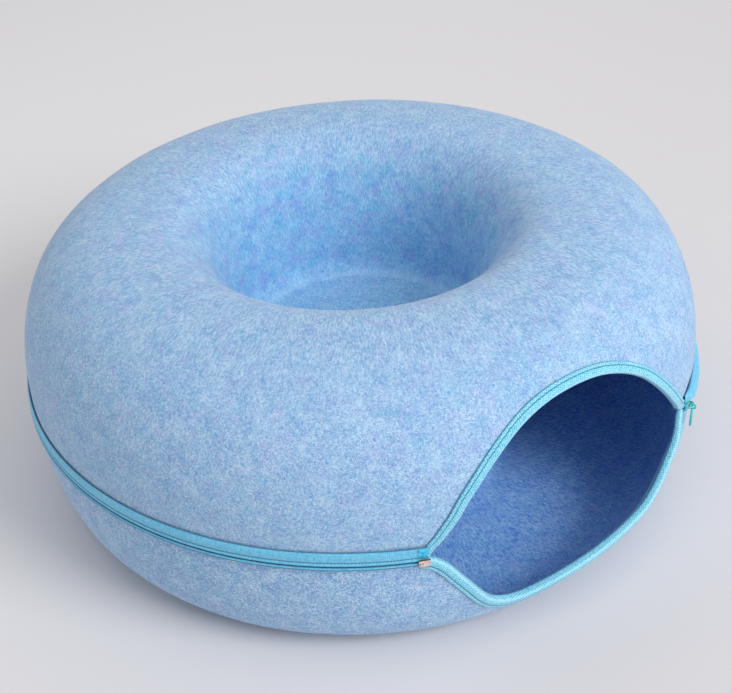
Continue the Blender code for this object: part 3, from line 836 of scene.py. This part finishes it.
def add_binding(name, upper, body, node):
    """A tape folded over the doorway's felt edge, drawn in where the stitches hold it.

    Its faces look towards the felt, so its wall stands out from the section, and the stitches lie on it.
    """
    steps = binding_steps
    edge, outward, length = door_edge(upper, steps)
    way = ways_along(edge)
    extra = [binding_overrun * share for share in (1.0, 0.66, 0.33)]
    before = [edge[0] - reach * way[0] for reach in extra]
    after = [edge[-1] + reach * way[-1] for reach in extra[::-1]]
    edge = np.vstack([before, edge, after])
    outward = np.vstack([[outward[0]] * len(extra), outward, [outward[-1]] * len(extra)])
    section, width = smooth_through(binding_shares, binding_section_steps)
    section *= binding_width

    def place(along, across):
        station = round(along * (len(edge) - 1))
        far, out = section[round(across * (len(section) - 1))]
        held = math.exp(-((far - binding_width + binding_seam_inset) / binding_groove_reach) ** 2)
        pull = 0.5 - 0.5 * math.cos(math.tau * station * (length / steps) / stitch_pitch)
        from_left = (station - len(extra)) * length / steps
        from_right = (steps + len(extra) - station) * length / steps
        narrower, thinner = pinch_at(upper, from_left, from_right)
        out = out - groove_depth * held * pull if out > 0 else out * thinner
        return on_felt(edge[station] + far * narrower * outward[station], out)

    bm = strip(len(edge) - 1, len(section) - 1, place, length, width * binding_width)
    if not upper:
        bmesh.ops.reverse_faces(bm, faces=bm.faces)
    trim_at_zip(bm, upper)
    thicken(add_piece(name, bm, BINDING, body, node), binding_thickness)


def add_stitches(name, places, body, node):
    """Single stitches, each a drawn-out bead along its way: places gives (point, way)."""
    bead = bmesh.new()
    bmesh.ops.create_uvsphere(bead, u_segments=6, v_segments=5, radius=1.0)
    pattern = mesh_of(name + "_bead", bead)
    thickness = thread_radius * 1.15
    size = Matrix.Diagonal((stitch_length / 2 + thread_radius, thickness, thickness, 1.0))
    bm = bmesh.new()
    for point, way in places:
        copy = pattern.copy()
        copy.transform(Matrix.Translation(point) @ way.to_track_quat("X", "Z").to_matrix().to_4x4() @ size)
        bm.from_mesh(copy)
        bpy.data.meshes.remove(copy)
    bpy.data.meshes.remove(pattern)
    add_piece(name, bm, THREAD, body, node)


def binding_stitch_places(upper):
    """The stitches of a binding's seam, on its outer face and on its inner one."""
    count = round(door_edge(upper, 200)[2] / stitch_pitch * 2)
    edge, outward, length = door_edge(upper, count)
    limit = zip_height + (felt_setback if upper else -felt_setback)
    for index in range(0, count - 1, 2):
        from_left = index * length / count
        narrower, thinner = pinch_at(upper, from_left, length - from_left)
        far = (binding_width - binding_seam_inset) * narrower * outward[index]
        for rise in (binding_stitch_rise, -inner_stitch_depth * thinner - binding_thickness):
            start, end = (on_felt(place + far, rise) for place in (edge[index], edge[index + 1]))
            if (start.z > limit) == upper:
                yield (start + end) / 2, end - start


def ring_point(angle, radius, height):
    return Vector((radius * math.cos(angle), radius * math.sin(angle), height))


tape_start_angle = right_corner_angle + tape_end_setback / tape_radius
tape_end_angle = left_corner_angle - tape_end_setback / tape_radius
tape_length = (tape_end_angle - tape_start_angle) * tape_radius


def add_tape(name, shares, width, seam_share, finish, body, node):
    """A zip tape round the rim, with rolled edges and a groove that its stitches draw in."""
    section, run = smooth_through(shares, tape_section_steps)

    def place(along, across):
        out, rise = section[round(across * (len(section) - 1))] * width
        angle = tape_start_angle + along * (tape_end_angle - tape_start_angle)
        from_seam = (rise - seam_share * width) / tape_groove_reach
        held = math.exp(-(from_seam**2)) if out > -groove_depth else 0.0
        pull = 0.5 - 0.5 * math.cos(math.tau * along * tape_length / stitch_pitch)
        out -= groove_depth * held * pull
        if out < inner_leg_out:
            rise = inner_leg_rise + (rise - inner_leg_rise) * eased(along * tape_length / inner_leg_reach)
        if rise > upper_seam_rise:
            share = (rise - upper_seam_rise) / (upper_tape_width - upper_seam_rise)
            from_end = min(along, 1 - along) * tape_length
            lean = max(0.0, share - lean_share) / (1 - lean_share)
            out -= tape_lean * lean * min(1.0, max(0.0, from_end / lean_reach - 0.4))
            from_start = along * tape_length
            crown = math.sin(math.pi * min(1.0, share / 1.16) ** 0.7)
            near = math.exp(-(from_start / bulge_reach) ** 2) * min(1.0, from_start / bulge_start)
            out += bulge * crown * near
        return ring_point(angle, tape_radius + out, zip_height + rise)

    bm = strip(tape_steps, len(section) - 1, place, tape_length, run * width)
    thicken(add_piece(name, bm, finish, body, node), tape_thickness)


def ring_stitch_places(radius, height, end_angle):
    """The stitches of a zip tape's seam."""
    count = int((end_angle - tape_start_angle) * radius / stitch_pitch)
    for stitch in range(count):
        angle = tape_start_angle + (stitch + 0.5) * stitch_pitch / radius
        yield ring_point(angle, radius, height), Vector((-math.sin(angle), math.cos(angle), 0.0))


def tube(name, points, radius, sides, cyclic=False):
    """A round wire along points, as a bmesh."""
    curve = bpy.data.curves.new(name, "CURVE")
    curve.dimensions = "3D"
    curve.bevel_depth = radius
    curve.bevel_resolution = (sides - 4) // 2
    curve.use_fill_caps = not cyclic
    spline = curve.splines.new("POLY")
    spline.points.add(len(points) - 1)
    spline.use_cyclic_u = cyclic
    for spot, point in zip(spline.points, points):
        spot.co = (*point, 1.0)
    wire = add_object(name + "_wire", curve)
    bpy.context.view_layer.update()
    mesh = bpy.data.meshes.new_from_object(wire.evaluated_get(bpy.context.evaluated_depsgraph_get()))
    bpy.data.objects.remove(wire)
    bm = bmesh.new()
    bm.from_mesh(mesh)
    bmesh.ops.remove_doubles(bm, verts=bm.verts, dist=0.000001)
    bmesh.ops.recalc_face_normals(bm, faces=bm.faces)
    return bm


def add_coil(name, rise, body, node):
    """A nylon zip coil: one wire wound round the rim behind the tape."""
    start = tape_start_angle + (stop_length + seat_gap) / tape_radius
    end = tape_end_angle - (pin_length + seat_gap) / tape_radius
    turns = int((end - start) * coil_radius / coil_pitch)
    points = []
    for index in range(turns * coil_points + 1):
        wind = math.tau * index / coil_points
        points.append(ring_point(
            start + (end - start) * index / (turns * coil_points),
            coil_radius + coil_loop_radius * math.cos(wind),
            zip_height + rise + coil_loop_radius * math.sin(wind),
        ))
    add_piece(name, tube(name, points, coil_wire_radius, 4), NYLON, body, node)


def at_rim(angle, radius=0.0):
    """The frame at an angle of the rim: X out, Y along the rim and Z up from the zip line."""
    turn = Matrix.Rotation(angle, 4, "Z")
    return turn @ Matrix.Translation((radius, 0.0, zip_height))


def rounded(bm, edges, corner):
    """Rounds edges, and gives the vertices of the faces that this makes."""
    made = bmesh.ops.bevel(
        bm, geom=edges, offset=corner, offset_type="OFFSET", segments=2, profile=0.5, affect="EDGES",
        material=-1,
    )
    return {vert for face in made["faces"] for vert in face.verts}


def add_block(bm, low, high, corner, frame_at):
    """Adds a block with rounded edges between two corners to a piece."""
    made = bmesh.ops.create_cube(bm, size=1.0)["verts"]
    for vert in made:
        vert.co = [(a + b) / 2 + c * (b - a) for a, b, c in zip(low, high, vert.co)]
    edges = {edge for vert in made for edge in vert.link_edges}
    verts = rounded(bm, list(edges), corner)
    bmesh.ops.transform(bm, matrix=frame_at, verts=list(verts))
    return verts


def add_plate(bm, outline, low, high, corner, frame_at):
    """Adds a plate with an outline along the rim and up, between two radii, its face edges rounded."""
    base = [bm.verts.new((low, along, up)) for along, up in outline]
    made = bmesh.ops.extrude_face_region(bm, geom=[bm.faces.new(base)])["geom"]
    top = verts_in(made)
    for vert in top:
        vert.co.x = high
    verts = {*base, *top}
    bmesh.ops.recalc_face_normals(bm, faces=list({f for vert in verts for f in vert.link_faces}))
    rim = {edge for vert in verts for edge in vert.link_edges if edge.calc_face_angle(0) > 1.2}
    found = rounded(bm, list(rim), corner) | {vert for vert in verts if vert.is_valid}
    bmesh.ops.transform(bm, matrix=frame_at, verts=list(found))


def add_retainer_box():
    """A folded copper box: a front plate flared at its open top, an end wall and a back plate."""
    place = at_rim(left_corner_angle)
    half = box_height / 2
    bm = bmesh.new()
    front = ((box_front, -box_end - box_length, -half), (box_front + box_wall, -box_end, half))
    plate = add_block(bm, *front, box_wall * 0.42, Matrix())
    for vert in plate:
        vert.co.x += box_flare * max(0.0, vert.co.z / half) ** 2
    bmesh.ops.transform(bm, matrix=place, verts=list(plate))
    half = back_plate_height / 2
    back = ((box_back - box_wall, -box_end - box_length, -half), (box_back, -box_end - box_wall / 2, half))
    add_block(bm, *back, box_wall * 0.3, place)
    wall = ((box_back - box_wall, -box_end - box_wall, -half), (box_front + box_wall / 2, -box_end, half))
    add_block(bm, *wall, box_wall * 0.3, place)
    add_piece("retainer", bm, COPPER, "lower_half", "retainer_box")


def add_slider():
    """The slider: a rounded front plate, a neck between the coils and a back plate."""
    place = at_rim(slider_angle)
    bm = bmesh.new()
    outline = [(along * slider_length, up * slider_height) for along, up in slider_shares]
    add_plate(bm, outline, slider_face - slider_plate, slider_face, plate_corner, place)
    back = coil_radius - coil_half_depth - back_plate_gap
    length, half = back_plate_length / 2, back_plate_height / 2
    inner = (back - back_plate_thickness, -length, -half)
    add_block(bm, inner, (back, length, half), back_plate_corner, place)
    neck = (back - back_plate_thickness / 2, -length, -neck_thickness / 2)
    neck_end = (slider_face - slider_plate / 2, -length + neck_length, neck_thickness / 2)
    add_block(bm, neck, neck_end, neck_corner, place)
    add_piece("slider_plates", bm, ENAMEL, "slider", "slider_body")

    foot = slider_face - crown_sink
    bend = crown_axis - foot - crown_flat
    route = [(foot, -crown_half)]
    for turn in np.linspace(0, math.pi / 2, 7):
        out = crown_axis - bend + bend * math.sin(turn)
        route.append((out, -crown_half + bend * 0.7 * (1 - math.cos(turn))))
    route += [(out, -along) for out, along in reversed(route)]
    crown = [place @ Vector((out, along, 0.0)) for out, along in route]
    add_piece("crown", tube("crown", crown, crown_radius, 10), ENAMEL, "slider", "slider_crown")


def add_puller():
    """The puller: an eye round the crown's bar and a flat tongue with a rounded tip."""
    place = at_rim(slider_angle, crown_axis)
    ring = [
        place @ Vector((eye_radius * math.cos(turn), 0.0, eye_radius * math.sin(turn) - eye_drop))
        for turn in np.linspace(0, math.tau, 24, endpoint=False)
    ]
    bm = tube("eye", ring, eye_wire, 10, cyclic=True)
    top = -eye_drop - eye_radius + eye_wire * 0.5
    tip = eye_radius - puller_length
    half = puller_width / 2
    turns = np.linspace(0, math.pi, 9)
    outline = [(half * math.cos(turn), tip + half * (1 - math.sin(turn))) for turn in turns]
    outline += [(-half * 0.9, top - half), (-half * 0.35, top), (half * 0.35, top), (half * 0.9, top - half)]
    add_plate(bm, outline, -puller_thickness / 2, puller_thickness / 2, plate_corner, place)
    add_piece("puller_tongue", bm, ENAMEL, "puller", "puller")


def add_film(name, low, high, radius, length, finish, body, node):
    """A thin film over a tape's end."""
    start = tape_end_angle - length / tape_radius

    def place(along, across):
        return ring_point(start + along * (tape_end_angle - start), radius, low + across * (high - low))

    sheet = strip(12, 4, place, length, high - low)
    thicken(add_piece(name, sheet, finish, body, node), film_thickness)


def add_grip_disc(name, base, body, node):
    """A disc of hook or loop tape, with rounded edges."""
    bm = bmesh.new()
    bmesh.ops.create_cone(
        bm, cap_ends=True, segments=96, radius1=disc_radius, radius2=disc_radius, depth=disc_thickness,
        matrix=Matrix.Translation((0.0, 0.0, base + disc_thickness / 2)),
    )
    rim = [edge for edge in bm.edges if edge.calc_face_angle(0) > 1.2]
    rounded(bm, rim, disc_thickness * 0.35)
    add_piece(name, bm, GRIP, body, node)


add_binding("upper_binding", True, "upper_half", "upper_door_binding")
add_binding("lower_binding", False, "lower_half", "lower_door_binding")
add_stitches("upper_binding_stitches", binding_stitch_places(True), "upper_half", "upper_binding_seam")
add_stitches("lower_binding_stitches", binding_stitch_places(False), "lower_half", "lower_binding_seam")
add_tape(
    "upper_tape", upper_tape_shares, upper_tape_width, upper_seam_rise / upper_tape_width,
    UPPER_TAPE, "upper_half", "upper_zip_tape",
)
add_tape(
    "lower_tape", lower_tape_shares, lower_tape_width, -lower_seam_drop / lower_tape_width,
    LOWER_TAPE, "lower_half", "lower_zip_tape",
)
film_angle = left_corner_angle - (film_length + tape_end_setback + seat_gap) / tape_radius
upper_seam = ring_stitch_places(tape_radius + upper_seam_out, zip_height + upper_seam_rise, film_angle)
add_stitches("upper_tape_stitches", upper_seam, "upper_half", "upper_tape_seam")
inner_leg_radius = tape_radius + lower_tape_shares[-1][0] * lower_tape_width
lower_seam = ring_stitch_places(
    inner_leg_radius - lower_seam_in, zip_height - lower_seam_drop, tape_end_angle
)
add_stitches("lower_tape_stitches", lower_seam, "lower_half", "lower_tape_seam")
add_coil("upper_coil", coil_rise, "upper_half", "upper_zip_coil")
add_coil("lower_coil", -coil_rise, "lower_half", "lower_zip_coil")
add_film(
    "upper_film", zip_height + box_height / 2 + 0.0001, zip_height + upper_tape_width * 1.04,
    film_radius + 0.0004, film_length, FILM, "upper_half", "upper_tape_end_film",
)
add_film(
    "lower_film", zip_height - film_tab_drop, zip_height - box_height / 2 + 0.0006,
    film_radius, film_length * 0.75, CLEAR_FILM, "lower_half", "lower_tape_end_film",
)
add_retainer_box()
add_slider()
add_puller()
plateau_height = well_floor_height - felt_thickness - 2 * disc_thickness - 0.0009
add_grip_disc("hook_patch", plateau_height + seat_gap, "lower_half", "hook_disc")
add_grip_disc("loop_patch", plateau_height + disc_thickness + 0.0006, "upper_half", "loop_disc")

# The solids that nothing replaces
bpy.context.view_layer.update()
slot_finishes = {
    "trim": UPPER_TAPE, "thread": THREAD, "coil": NYLON, "film": FILM, "copper": COPPER, "slider": ENAMEL,
    "grip": GRIP,
}
node_slots = {subpart["node"]: subpart["material_slot"] for subpart in frame["record"]["subparts"]}
for name, node in frame["nodes"].items():
    if not node.hide_render:
        node.data.materials.clear()
        node.data.materials.append(slot_finishes[node_slots[name]])

# Camera
camera_place = Vector((-0.5766, -0.8098, 0.7972))
camera_aim = Vector((0.0, 0.0, 0.125))
camera_roll = math.radians(-3.33)
camera_data = bpy.data.cameras.new("camera")
camera_data.sensor_width = 36.0
camera_data.lens = 63.74
camera_data.shift_x = 0.0101
camera_data.shift_y = -0.0286
camera = add_object("camera", camera_data)
camera.location = camera_place
camera.rotation_mode = "QUATERNION"
camera_look = (camera_aim - camera_place).to_track_quat("-Z", "Y")
camera.rotation_quaternion = camera_look @ Quaternion((0, 0, 1), camera_roll)
bpy.context.scene.camera = camera


def add_floor():
    """A pale floor with a painted fall-off of light: brighter towards the back and the left."""
    bm = bmesh.new()
    bmesh.ops.create_grid(bm, x_segments=1, y_segments=1, size=6.0)
    mesh = mesh_of("floor", bm)
    paper = Finish("paper", roughness=0.9)
    x, y, _ = paper.parts_of(paper.place())
    # Painted light fall-off across the floor.
    far = (x * -0.40 + y * 1.25 + paper.noise(paper.place(), 3.0) * 0.1).ramp(-1.2, 1.4)
    paper.colour(paper.mix(far, paint(214, 212, 214), paint(239, 238, 239)))
    mesh.materials.append(paper.material)
    floor = add_object("floor", mesh)


def add_lamp(name, place, aim, size, power):
    """A round soft light turned towards a point."""
    data = bpy.data.lights.new(name, "AREA")
    data.shape = "DISK"
    data.size = size
    data.energy = power
    lamp = add_object(name, data)
    lamp.location = place
    lamp.rotation_euler = (Vector(aim) - Vector(place)).to_track_quat("-Z", "Y").to_euler()


add_floor()
add_lamp("key", (0.9, -3.2, 2.4), (0.0, 0.0, 0.1), 2.0, 98.0)
add_lamp("overhead", (-0.6, -0.6, 3.4), (0.0, 0.0, 0.1), 2.6, 13.0)

world = bpy.data.worlds.new("studio")
world.use_nodes = True
world.node_tree.nodes["Background"].inputs["Color"].default_value = (0.91, 0.90, 0.92, 1.0)
world.node_tree.nodes["Background"].inputs["Strength"].default_value = 0.60
bpy.context.scene.world = world
bpy.context.scene.view_settings.view_transform = "Standard"
